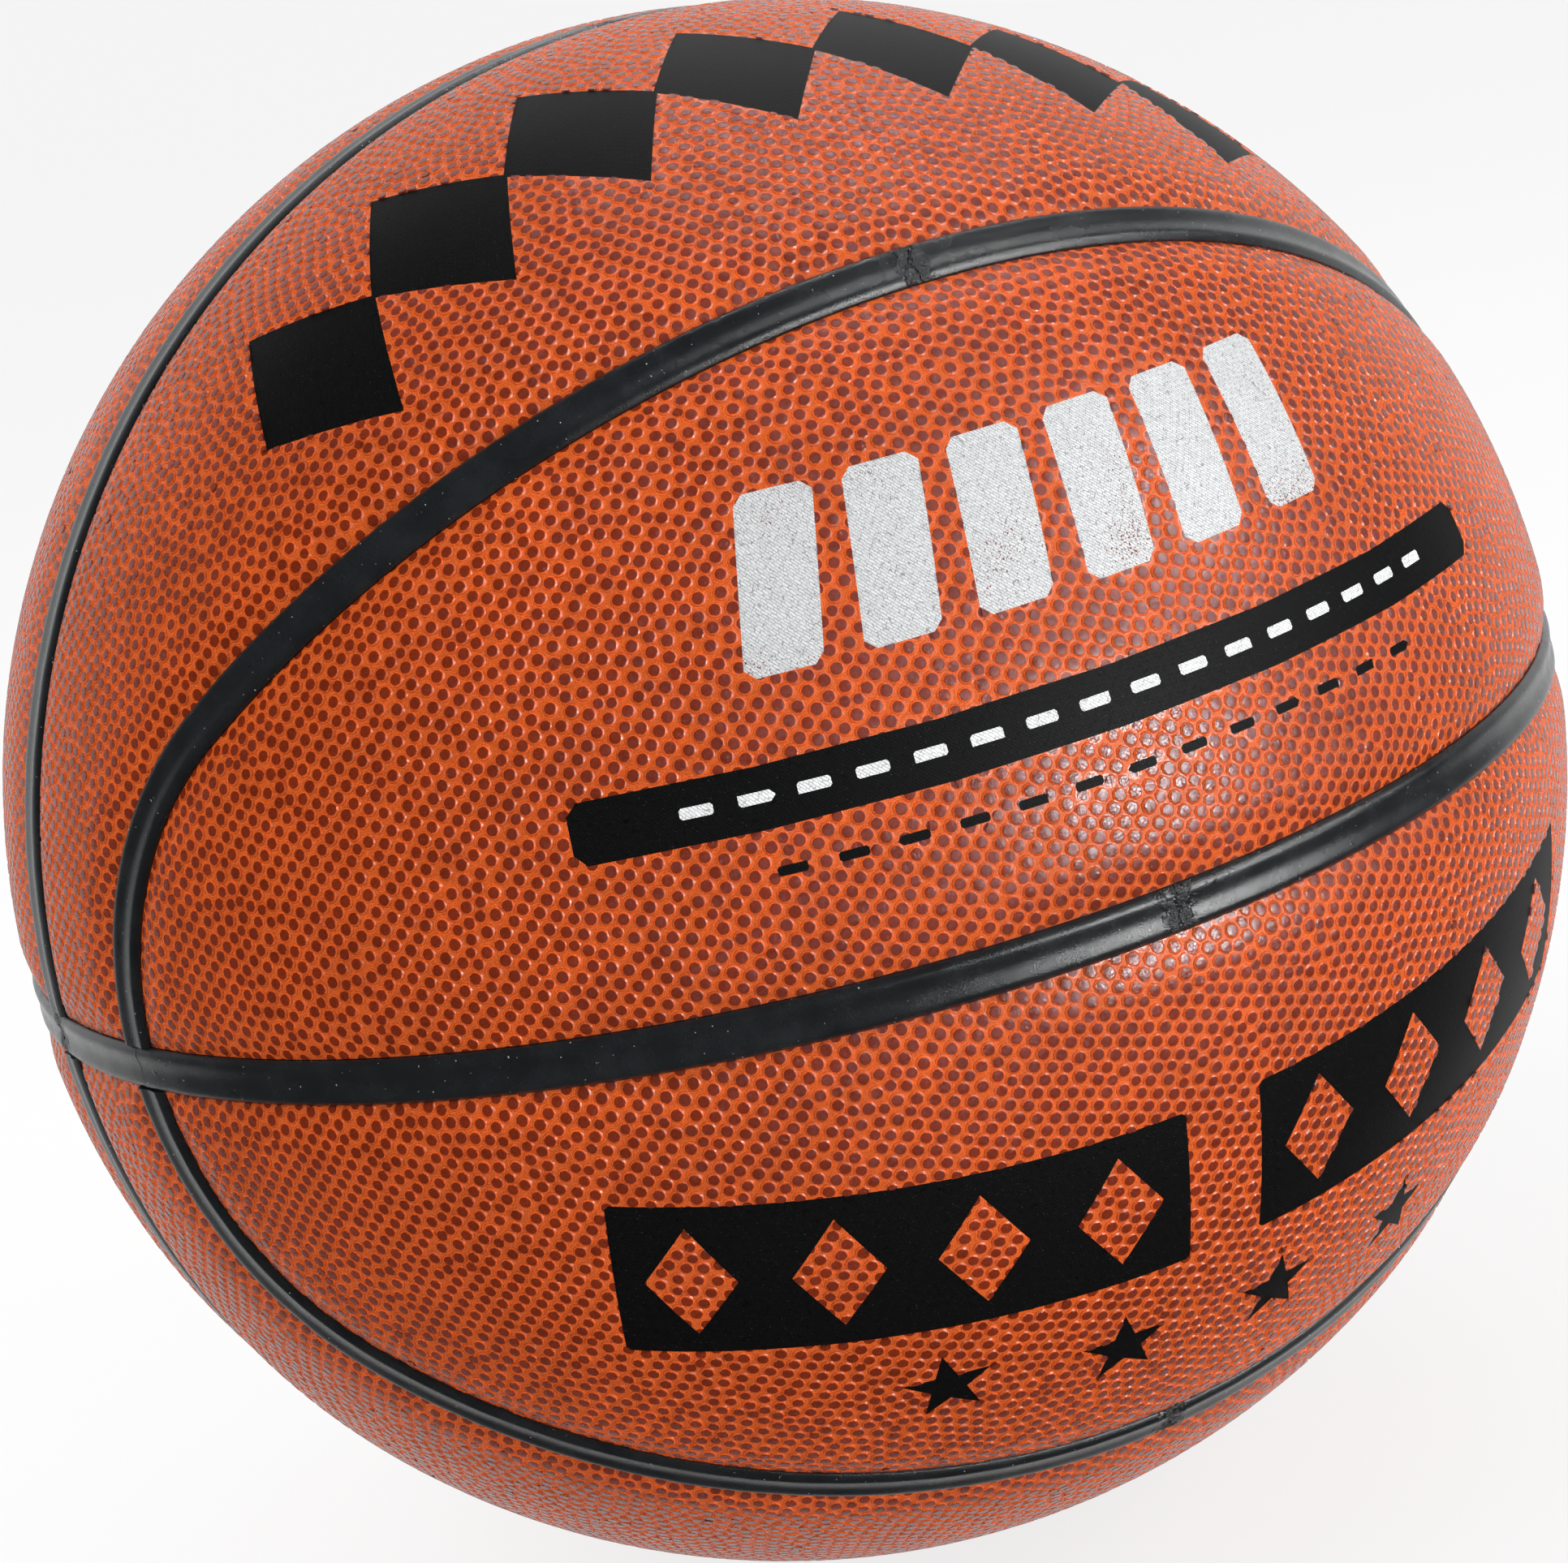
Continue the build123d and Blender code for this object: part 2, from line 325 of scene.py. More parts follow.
def twillGroup():
    # woven cloth pressed into a print: height, and painted glints for the print's colour, from the print's own map in
    # metres
    group = bpy.data.node_groups.new("twill", "ShaderNodeTree")
    group.interface.new_socket("Map", in_out="INPUT", socket_type="NodeSocketVector")
    group.interface.new_socket("Height", in_out="OUTPUT", socket_type="NodeSocketFloat")
    group.interface.new_socket("PaintedGlint", in_out="OUTPUT", socket_type="NodeSocketFloat")
    start = group.nodes.new("NodeGroupInput")
    end = group.nodes.new("NodeGroupOutput")
    place = millimetres(group, start.outputs["Map"])
    stray = addNode(group, "TexNoise", {"Vector": place, "Scale": 1.1, "Detail": 1.0}).outputs["Color"]
    stray = addNode(group, "VectorMath", {0: stray, "Scale": 0.3}, operation="SCALE").outputs[0]
    uneven = addNode(group, "VectorMath", {0: place, 1: stray}, operation="ADD").outputs[0]
    turned = addNode(group, "VectorRotate", {"Vector": uneven, "Angle": 0.75},
                     rotation_type="Z_AXIS").outputs["Vector"]
    brick = addNode(group, "TexBrick", {
        "Vector": turned, "Color1": (1, 1, 1, 1), "Color2": (0.75, 0.75, 0.75, 1), "Mortar": (0, 0, 0, 1),
        "Scale": 1.0, "Mortar Size": 0.085, "Mortar Smooth": 1.0, "Brick Width": 1.0, "Row Height": 0.38,
    }, offset=0.33).outputs["Color"]
    patch = rescale(group, noiseValue(group, place, 0.9 * mm, 2), 0.35, 0.62, 0.5, 0.0)
    edge = cellEdges(group, uneven, 0.75)
    dull = rescale(group, noiseValue(group, place, 0.8 * mm, 1), 0.54, 0.60, 1.0, 0.0)
    whole = calculate(group, "MAXIMUM", rescale(group, edge, 0.012, 0.045), dull)
    cloth = calculate(group, "MULTIPLY", calculate(group, "MAXIMUM", brick, patch), whole)
    group.links.new(cloth, end.inputs["Height"])
    # painted glints: small bright flecks for the print's colour
    paintedGlint = noiseValue(group, place, 0.22 * mm, 1)
    group.links.new(rescale(group, paintedGlint, 0.72, 0.78), end.inputs["PaintedGlint"])
    return group


twill = twillGroup()


def printMaterial(name, colour, glintColour, roughness, gloss, metallic, worn):
    material, tree, shader = newMaterial(name)
    spot = addNode(tree, "UVMap", uv_map="pebble").outputs["UV"]
    where = ownPlace(tree)
    cloth = addNode(tree, "Group", {"Map": spot}, node_tree=twill)
    height, paintedGlint = cloth.outputs["Height"], cloth.outputs["PaintedGlint"]
    # darker where the weave and its cracks lie low: painted shade in the grooves
    shade = blend(tree, rescale(tree, height, 0, 1, 1, 0), colour, tuple(0.35 * c for c in colour[:3]) + (1,))
    # painted glints: small bright flecks mixed into the print's colour
    shade = blend(tree, calculate(tree, "MULTIPLY", paintedGlint, 0.5), shade, glintColour)
    if worn:
        fleck = noiseValue(tree, where, 0.3 * mm, 2)
        patch = noiseValue(tree, where, 14 * mm, 1)
        gone = rescale(tree, calculate(tree, "ADD", fleck, calculate(tree, "MULTIPLY", patch, 0.5)), 0.93, 0.97)
        shade = blend(tree, gone, shade, leather["top"])
        metallic = rescale(tree, gone, 0, 1, metallic, 0)
    finishShader(tree, shader, Base_Color=shade, Roughness=roughness, Metallic=metallic, Specular_IOR_Level=gloss,
                 Normal=bump(tree, height, 0.03 * mm, 0.7))
    return material


rubber = {"base": (0.0105, 0.0125, 0.0140, 1), "grain": 0.20 * mm, "roughness": 0.25}


def rubberMaterial(name, colour, roughness, specks=False):
    material, tree, shader = newMaterial(name)
    where = ownPlace(tree)
    grain = noiseValue(tree, where, rubber["grain"], 3, 0.65)
    broad = noiseValue(tree, where, 5 * mm, 3)
    tone = rescale(tree, broad, 0.3, 0.7, 0.8, 1.25)
    tone = calculate(tree, "MULTIPLY", tone, rescale(tree, grain, 0.3, 0.7, 0.75, 1.25))
    base = shaded(tree, colour, tone)
    height = grain
    if specks:
        blister = noiseValue(tree, where, 0.9 * mm, 1)
        place = rescale(tree, noiseValue(tree, where, 7 * mm, 2), 0.55, 0.62)
        blister = calculate(tree, "MULTIPLY", rescale(tree, blister, 0.70, 0.76), place)
        height = calculate(tree, "ADD", grain, calculate(tree, "MULTIPLY", blister, 2.0))
        splice = addNode(tree, "Attribute", attribute_name="splice").outputs["Fac"]
        patchy = rescale(tree, noiseValue(tree, where, 1.4 * mm, 2), 0.3, 0.7, 0.1, 1.3)
        splice = rescale(tree, calculate(tree, "MULTIPLY", splice, patchy), 0.2, 0.6)
        crumbs = noiseValue(tree, where, 0.34 * mm, 2, 0.6)
        height = calculate(tree, "MULTIPLY_ADD", calculate(tree, "MULTIPLY", crumbs, splice), 7.0, height)
        dust = rescale(tree, noiseValue(tree, where, 0.38 * mm, 0), 0.85, 0.87)
        base = blend(tree, calculate(tree, "MULTIPLY", dust, 0.6), base, (0.55, 0.57, 0.58, 1))
    roughness = rescale(tree, broad, 0.3, 0.7, roughness - 0.05, roughness + 0.06)
    if specks:
        roughness = calculate(tree, "MULTIPLY_ADD", splice, 0.12, roughness)
    finishShader(tree, shader, Base_Color=base, Roughness=roughness, Specular_IOR_Level=0.5,
                 Normal=bump(tree, height, 0.06 * mm, 0.8))
    return material


leatherLook = leatherMaterial()
blackPrint = printMaterial("blackPrint", (0.0055, 0.0058, 0.006, 1), (0.16, 0.17, 0.18, 1), 0.5, 0.06, 0.0, False)
silverPrint = printMaterial("silverFoil", (0.62, 0.63, 0.64, 1), (0.9, 0.9, 0.91, 1), 0.5, 0.15, 0.05, True)
whitePrint = printMaterial("whitePrint", (0.78, 0.79, 0.80, 1), (0.9, 0.9, 0.9, 1), 0.5, 0.15, 0.0, False)
stripLook = rubberMaterial("seamRubber", rubber["base"], rubber["roughness"], True)
coverLooks = (leatherLook, blackPrint, silverPrint, whitePrint)
plain, black, silver, white = range(4)


# prints pressed into the cover, all plain generic figures

def slantedBlock(width, height, slant, corner):
    # a leaning block with clipped corners, as a closed outline round its middle
    w, h, s, c = width / 2, height / 2, slant / 2, corner
    return [(-w - s + c, -h), (w - s - c, -h), (w - s, -h + c), (w + s, h - c), (w + s - c, h),
            (-w + s + c, h), (-w + s, h - c), (-w - s, -h + c)]


def circle(radius, steps):
    angles = [2 * math.pi * k / steps for k in range(steps)]
    return [(radius * math.cos(a), radius * math.sin(a)) for a in angles]


def lozenge(width, height):
    return [(0, -height / 2), (width / 2, 0), (0, height / 2), (-width / 2, 0)]


def fivePointStar(radius):
    spots = []
    for point in range(10):
        size = radius * (1 if point % 2 == 0 else 0.40)
        angle = math.pi / 2 + point * math.pi / 5
        spots.append((size * math.cos(angle), size * math.sin(angle)))
    return spots


def sideFrame(bearing, latitude, roll=0.0):
    # middle, right and up of a print on the right side; bearing and latitude in degrees
    b, l = math.radians(bearing), math.radians(latitude)
    out = np.array([math.cos(b) * math.cos(l), math.sin(b) * math.cos(l), math.sin(l)])
    right = np.array([-math.sin(b), math.cos(b), 0.0])
    return turnedFrame(out, right, roll)


def topFrame(along, across):
    # the same on a centre panel: degrees along the meridian's plane and toward the right
    a, c = math.radians(along), math.radians(across)
    out = np.array([math.sin(c), math.sin(a) * math.cos(c), math.cos(a) * math.cos(c)])
    right = np.array([0.0, math.cos(a), -math.sin(a)])
    return turnedFrame(out, right, 0)


def turnedFrame(out, right, roll):
    up = np.cross(out, right)
    r = math.radians(roll)
    return out, right * math.cos(r) + up * math.sin(r), up * math.cos(r) - right * math.sin(r)


def insideOutline(points, outline):
    hits = np.zeros(len(points), dtype=bool)
    for (x1, y1), (x2, y2) in zip(outline, outline[1:] + outline[:1]):
        crosses = (points[:, 1] < y1) != (points[:, 1] < y2)
        with np.errstate(divide="ignore", invalid="ignore"):
            x = x1 + (points[:, 1] - y1) * (x2 - x1) / (y2 - y1)
        hits ^= crosses & (points[:, 0] < x)
    return hits


def turnOf(a, b):
    return a[..., 0] * b[..., 1] - a[..., 1] * b[..., 0]


def nextLoops(starts, counts):
    following = np.arange(counts.sum()) + 1
    following[starts + counts - 1] = starts
    return following


def pressOutline(sheet, place, outline, look):
    # scores the sheet along an outline and gives the faces inside it the print's look
    out, right, up = place

    def flatten(points):
        depth = points @ out
        flat = np.stack([points @ right, points @ up], axis=1) / depth[:, None] * ballRadius
        flat[depth < 0.5 * np.linalg.norm(points, axis=1)] = 1.0
        return flat

    def onBall(spot):
        return out * ballRadius + right * spot[0] + up * spot[1]

    for first, second in zip(outline, outline[1:] + outline[:1]):
        first, second = np.array(first), np.array(second)
        co, loops, starts, counts = readMesh(sheet.data)
        flat = flatten(co)
        a, b = flat[loops], flat[loops[nextLoops(starts, counts)]]
        apart = turnOf(second - first, a - first) * turnOf(second - first, b - first) < 0
        apart &= turnOf(b - a, first - a) * turnOf(b - a, second - a) < 0
        crossed = np.zeros(len(counts), dtype=bool)
        crossed[np.repeat(np.arange(len(counts)), counts)[apart]] = True
        if not crossed.any():
            middles = flatten(faceCentres(sheet.data))
            crossed[np.linalg.norm(middles - (first + second) / 2, axis=1).argmin()] = True
        scoreLine(sheet, crossed, (0, 0, 0), unit(np.cross(onBall(first), onBall(second))))
    mask = insideOutline(flatten(faceCentres(sheet.data)), outline)
    looks = readLooks(sheet.data)
    looks[mask] = look
    sheet.data.polygons.foreach_set("material_index", looks)


figureRows = {
    # figures along the right side's upper panel: count, first bearing, span and latitude in degrees
    "silver": (6, -19.5, 40.0, 26.6, slantedBlock(10.5 * mm, 24 * mm, 4 * mm, 1.4 * mm)),
    "white": (16, -28.0, 56, 14.0, slantedBlock(4.4 * mm, 1.5 * mm, 0, 0.3 * mm)),
    "black": (13, -23.0, 46, 9.4, slantedBlock(4.0 * mm, 1.3 * mm, 0, 0.3 * mm)),
}
bar = {"bearing": 36.0, "latitude": 14.0, "height": 8.2 * mm, "pieces": 6, "lap": 0.6 * mm, "clip": 1.6 * mm}
bands = {
    "middles": (-21.5, 23.5), "pieces": 4, "step": 9.6, "latitude": -19.2, "sag": 3.6, "sagBearing": 40, "roll": 0.27,
    "piece": slantedBlock(20.8 * mm, 25 * mm, 0, 0.6 * mm), "opening": lozenge(12.5 * mm, 18 * mm),
}
stars = {"start": -21.0, "step": 13.9, "latitudes": (-29.9, -31.4, -31.9, -31.5), "outline": fivePointStar(6.6 * mm)}
flags = {"count": 7, "start": -38.4, "step": 12.8, "across": 21.3, "outline": lozenge(26 * mm, 37 * mm)}


def pressRow(sheet, row, look):
    count, start, span, latitude, outline = row
    for item in range(count):
        pressOutline(sheet, sideFrame(start + item * span / (count - 1), latitude), outline, look)


def pressBar(sheet):
    # short lapping pieces, so that the bar follows its parallel; both ends are clipped
    step = 2 * bar["bearing"] / bar["pieces"]
    length = math.radians(step) * ballRadius * math.cos(math.radians(bar["latitude"])) + bar["lap"]
    half, tall, clip = length / 2, bar["height"] / 2, bar["clip"]
    for piece in range(bar["pieces"]):
        leftEnd = [(-half, tall), (-half, -tall)]
        rightEnd = [(half, -tall), (half, tall)]
        if piece == 0:
            leftEnd = [(-half + clip, tall), (-half, tall - clip), (-half, clip - tall), (-half + clip, -tall)]
        if piece == bar["pieces"] - 1:
            rightEnd = [(half - clip, -tall), (half, clip - tall), (half, tall - clip), (half - clip, tall)]
        place = sideFrame(-bar["bearing"] + (piece + 0.5) * step, bar["latitude"])
        pressOutline(sheet, place, leftEnd + rightEnd, black)


def pressSideUpper(sheet):
    pressRow(sheet, figureRows["silver"], silver)
    pressBar(sheet)
    pressRow(sheet, figureRows["white"], white)
    pressRow(sheet, figureRows["black"], black)


def pressSideLower(sheet):
    for middle in bands["middles"]:
        for piece in range(bands["pieces"]):
            bearing = middle + (piece - (bands["pieces"] - 1) / 2) * bands["step"]
            latitude = bands["latitude"] + bands["sag"] * (bearing / bands["sagBearing"]) ** 2
            place = sideFrame(bearing, latitude, bands["roll"] * bearing)
            pressOutline(sheet, place, bands["piece"], black)
            pressOutline(sheet, place, bands["opening"], plain)
    for star, latitude in enumerate(stars["latitudes"]):
        pressOutline(sheet, sideFrame(stars["start"] + star * stars["step"], latitude), stars["outline"], black)


def pressCentreUpper(sheet):
    for flag in range(flags["count"]):
        place = topFrame(flags["start"] + flag * flags["step"], flags["across"])
        pressOutline(sheet, place, flags["outline"], black)


presses = {
    "side_panel_right_upper": pressSideUpper,
    "side_panel_right_lower": pressSideLower,
    "centre_panel_right_upper": pressCentreUpper,
}


# cover panels

cover = {
    "pitch": 2.27 * mm,  # pebble to pebble
    "height": 0.27 * mm,  # pebble top over the valley
    "foot": 1.15 * mm,  # pebble radius at its foot
    "topShare": 0.68,  # of that radius, at the flat top
    "sides": 8,
    "shake": 0.18,  # of the pitch, before the spacing is evened out
    "evenSteps": 14,
    "domeTilt": math.radians(5),
    "rimTilt": math.radians(32),
    "footTilt": math.radians(60),
    "edgeRelief": 0.6,  # what is left of the relief at a panel's edge
    "seed": 11,
}
valve = {
    "panel": "side_panel_left_upper",
    "axis": np.array([-math.cos(math.radians(12)), 0, math.sin(math.radians(12))]),
    "hole": 4.05 * mm,
    "look": black,  # marks the faces that are dropped
}
xAxis, yAxis, zAxis = np.eye(3)
valleyRadius = ballRadius - cover["height"]
cellArea = cover["pitch"] ** 2 * math.sqrt(3) / 2


def triangulate(points, towards):
    right = unit(np.cross([0, 1, 0], towards))
    flat = np.stack([points @ right, points @ np.cross(towards, right)], axis=1)
    flat /= (valleyRadius + points @ towards)[:, None]
    return np.array(delaunay_2d_cdt([Vector(p) for p in flat], [], [], 0, 1e-9)[2])


def panelCentres(inside, towards, rng):
    # pebble centres: a spiral of points, shaken, then evened out by springs between neighbours
    count = int(4 * math.pi * valleyRadius**2 / cellArea)
    turn = np.arange(count) + 0.5
    height = 1 - 2 * turn / count
    ring = np.sqrt(1 - height**2)
    angle = turn * math.pi * (3 - math.sqrt(5))
    points = np.stack([ring * np.cos(angle), ring * np.sin(angle), height], axis=1)
    points = points[inside(points, 3.5 * cover["pitch"])] * valleyRadius
    points += rng.normal(0, cover["shake"] * cover["pitch"], points.shape)
    points = unit(points) * valleyRadius
    free = inside(unit(points), 2.2 * cover["pitch"])
    for _ in range(cover["evenSteps"]):
        triangles = triangulate(points, towards)
        edges = np.concatenate([triangles[:, [0, 1]], triangles[:, [1, 2]], triangles[:, [2, 0]]])
        first, second = np.unique(np.sort(edges, axis=1), axis=0).T
        apart = points[first] - points[second]
        length = np.linalg.norm(apart, axis=1, keepdims=True)
        pitch = cover["pitch"]
        push = 0.2 * apart / length * np.clip(1.1 * pitch - length, -0.3 * pitch, 0.6 * pitch)
        shift = np.zeros(points.shape)
        np.add.at(shift, first, push)
        np.add.at(shift, second, -push)
        points[free] = unit(points[free] + shift[free]) * valleyRadius
    return points


def cellSheet(name, points, towards, inside):
    # one flat cell round each pebble centre, as a sheet of many-sided faces
    triangles = triangulate(points, towards)
    corners = unit(points[triangles].mean(axis=1)) * valleyRadius
    owners = triangles.ravel()
    corner = np.repeat(np.arange(len(triangles)), 3)
    outward = unit(points)
    east = unit(np.cross([0, 1, 0], outward))
    north = np.cross(outward, east)
    offset = corners[corner] - points[owners]
    bearing = np.arctan2((offset * north[owners]).sum(1), (offset * east[owners]).sum(1))
    order = np.lexsort((bearing, owners))
    counts = np.bincount(owners, minlength=len(points))
    ends = np.cumsum(counts)
    ring = corner[order]
    keep = np.nonzero(inside(outward, 1.6 * cover["pitch"]) & (counts > 2))[0]
    faces = [ring[ends[i] - counts[i]:ends[i]].tolist() for i in keep]
    mesh = bpy.data.meshes.new(name)
    mesh.from_pydata(corners.tolist(), [], faces)
    for look in coverLooks:
        mesh.materials.append(look)
    centre = mesh.attributes.new("centre", "FLOAT_VECTOR", "FACE")
    middles = np.array([corners[face].mean(axis=0) for face in faces])
    centre.data.foreach_set("vector", middles.astype(np.float32).ravel())
    return freshObject(name, mesh)


def cutAlongSeams(obj, kind, side, level):
    # scores the sheet along the panel's edges
    signs = np.array([side, 1, level])
    away = 1 if kind == "centre" else -1
    edgeAngle = panelEdge / ballRadius
    everyFace = np.ones(len(obj.data.polygons), dtype=bool)
    scoreLine(obj, everyFace, (0, 0, level * panelEdge), (0, 0, 1))
    if kind == "centre":
        everyFace = np.ones(len(obj.data.polygons), dtype=bool)
        scoreLine(obj, everyFace, (side * panelEdge, 0, 0), (1, 0, 0))
    pole = loopPole * signs
    scoreLine(obj, ~inTurn(faceCentres(obj.data)), pole * away * panelEdge, pole)
    for end in (1, -1):
        centres = faceCentres(obj.data)
        mask = inTurn(centres) & (centres[:, 1] * end > 0)
        axis = turnPole * np.array([side, end, 1])
        scoreLine(obj, mask, axis * valleyRadius * math.cos(turnRadius + away * edgeAngle), axis)


def panelInside(kind, side, level):
    away = 1 if kind == "centre" else -1

    def inside(directions, margin):
        within = away * loopDistance(directions) > -margin
        within &= directions[:, 2] * level * ballRadius > -margin
        within &= directions[:, 0] * side * ballRadius > -margin
        return within

    return inside


def pebbleSkin(name, sheet, side, rng):
    # raises a round pebble in every cell of the sheet and closes the panel behind it
    co, loops, starts, counts = readMesh(sheet.data)
    looks = readLooks(sheet.data)
    centres = readValues(sheet.data.attributes["centre"].data, "vector", np.float32, 3)
    sides = cover["sides"]
    corners = unit(co)
    rises, tints, directions = [np.zeros(len(co))], [np.full(len(co), 0.5)], [corners]
    faceLoops, faceCounts, faceLooks, loopTilts, loopLeans, loopMaps = [], [], [], [], [], []
    total = len(corners)

    def addFaces(table, tilt=None, lean=None, chart=None, look=0):
        faceLoops.append(table.ravel())
        faceCounts.append(np.full(len(table), table.shape[1]))
        faceLooks.append(np.full(len(table), look))
        loopTilts.append(np.zeros(table.size) if tilt is None else tilt.ravel())
        loopLeans.append(np.zeros((table.size, 3)) if lean is None else lean.reshape(-1, 3))
        loopMaps.append(np.full((table.size, 2), 1.1) if chart is None else chart.reshape(-1, 2))

    # printed faces lie flat, level with the valley
    for count in np.unique(counts):
        for look in (black, silver, white):
            chosen = np.nonzero((counts == count) & (looks == look))[0]
            if len(chosen):
                table = loops[starts[chosen][:, None] + np.arange(count)]
                spots = corners[table] * ballRadius
                if abs(corners[table].mean(axis=(0, 1))[2]) > 0.75:
                    chart = np.stack([ballRadius * np.arctan2(spots[..., 1], spots[..., 2]), spots[..., 0]], axis=2)
                else:
                    along = ballRadius * np.arctan2(spots[..., 1], side * spots[..., 0])
                    chart = np.stack([along, spots[..., 2]], axis=2)
                addFaces(table, chart=chart, look=look)

    # pebbled cells
    for count in np.unique(counts):
        chosen = np.nonzero((counts == count) & (looks == plain))[0]
        if not len(chosen):
            continue
        table = loops[starts[chosen][:, None] + np.arange(count)]
        outline = co[table]
        middle = unit(outline.mean(axis=1))
        east = unit(np.cross([0.31, 0.17, 0.94], middle))
        north = np.cross(middle, east)
        x = np.einsum("mni,mi->mn", outline, east)
        y = np.einsum("mni,mi->mn", outline, north)
        # a cell that lost its pebble's centre to a cut keeps the rest of the pebble in colour only
        middleX = np.einsum("mi,mi->m", centres[chosen], east)[:, None]
        middleY = np.einsum("mi,mi->m", centres[chosen], north)[:, None]
        x, y = x - middleX, y - middleY
        edgeX, edgeY = np.roll(x, -1, 1) - x, np.roll(y, -1, 1) - y
        depth = (x * edgeY - y * edgeX) / np.maximum(np.hypot(edgeX, edgeY), 1e-9)
        cut = depth.min(axis=1) < 0.08 * mm
        if cut.any():
            addFaces(table[cut], chart=np.stack([x[cut], y[cut]], axis=2) / cover["foot"])
        parts = table, x, y, middleX, middleY, east, north, middle
        table, x, y, middleX, middleY, east, north, middle = (part[~cut] for part in parts)
        cells = len(table)
        if not cells:
            continue
        bearing = np.arctan2(y, x)
        order = np.argsort(bearing, axis=1)
        table, bearing, x, y = (np.take_along_axis(part, order, 1) for part in (table, bearing, x, y))
        # rings of the pebble's foot and top, held inside the cell's edges
        spoke = (rng.random(cells)[:, None] + np.arange(sides)) / sides * 2 * math.pi - math.pi
        ray = np.stack([np.cos(spoke), np.sin(spoke)], axis=2)
        edgeX, edgeY = np.roll(x, -1, 1) - x, np.roll(y, -1, 1) - y
        facing = ray[..., :1] * edgeY[:, None, :] - ray[..., 1:] * edgeX[:, None, :]
        room = (x * edgeY - y * edgeX)[:, None, :] / np.where(facing > 1e-9, facing, 1e-9)
        room = np.where(facing > 1e-9, room, 1).min(axis=2)
        tight = np.clip(np.partition(room, 2, axis=1)[:, 2] / (0.45 * cover["pitch"]), 0.9, 1.0)
        foot = cover["foot"] * (tight * rng.normal(1, 0.025, cells))[:, None]
        footR = np.minimum(foot, 0.955 * room)
        topR = np.minimum(foot * cover["topShare"], 0.86 * room)
        base = middle * valleyRadius + east * middleX + north * middleY
        lean = ray[..., :1] * east[:, None, :] + ray[..., 1:] * north[:, None, :]
        footAt = unit(base[:, None, :] + lean * footR[..., None])
        topAt = unit(base[:, None, :] + lean * topR[..., None])
        rise = np.minimum(1, rng.normal(0.96, 0.04, cells))
        tint = np.repeat(rng.random(cells), sides)
        footIndex = total + np.arange(cells * sides).reshape(cells, sides)
        topIndex = footIndex + cells * sides
        total += 2 * cells * sides
        directions += [footAt.reshape(-1, 3), topAt.reshape(-1, 3)]
        rises += [np.zeros(cells * sides), np.repeat(rise, sides)]
        tints += [tint, tint]
        cornerMap = np.stack([x, y], axis=2) / foot[..., None]
        footMap, topMap = ray * (footR / foot)[..., None], ray * (topR / foot)[..., None]
        # valley between the cell's corners and the pebble's foot
        order = np.argsort(np.concatenate([bearing, spoke], axis=1), axis=1)
        isCorner = order < count
        cornerAfter, footAfter = np.cumsum(isCorner, 1) - 1, np.cumsum(~isCorner, 1) - 1
        cornerBefore, footBefore = (cornerAfter - isCorner) % count, (footAfter - ~isCorner) % sides
        cornerAfter, footAfter = cornerAfter % count, footAfter % sides
        rows = np.arange(cells)[:, None]
        third = np.where(isCorner, table[rows, cornerAfter], footIndex[rows, footAfter])
        thirdMap = np.where(isCorner[..., None], cornerMap[rows, cornerAfter], footMap[rows, footAfter])
        valley = np.stack([table[rows, cornerBefore], third, footIndex[rows, footBefore]], axis=2)
        chart = np.stack([cornerMap[rows, cornerBefore], thirdMap, footMap[rows, footBefore]], axis=2)
        addFaces(valley.reshape(-1, 3), chart=chart)
        # wall and top
        after = np.roll(np.arange(sides), -1)
        wall = np.stack([footIndex, footIndex[:, after], topIndex[:, after], topIndex], axis=2)
        wallLean = np.stack([lean, lean[:, after], lean[:, after], lean], axis=2)
        chart = np.stack([footMap, footMap[:, after], topMap[:, after], topMap], axis=2)
        whole = np.clip((footR / foot - cover["topShare"]) / (0.9 - cover["topShare"]), 0, 1)
        low, high = whole * cover["footTilt"], whole * cover["rimTilt"]
        wallTilt = np.stack([low, low[:, after], high[:, after], high], axis=2)
        addFaces(wall.reshape(-1, 4), wallTilt, wallLean, chart)
        addFaces(topIndex, whole * cover["domeTilt"], lean, topMap)
    directions = np.concatenate(directions)
    fade = np.clip((seamDistance(directions) - panelEdge) / seams["rollWidth"], 0, 1)
    relief = cover["height"] * np.concatenate(rises) * (cover["edgeRelief"] + (1 - cover["edgeRelief"]) * fade)
    outer = directions * (valleyRadius - rollDrop(directions) + relief)[:, None]

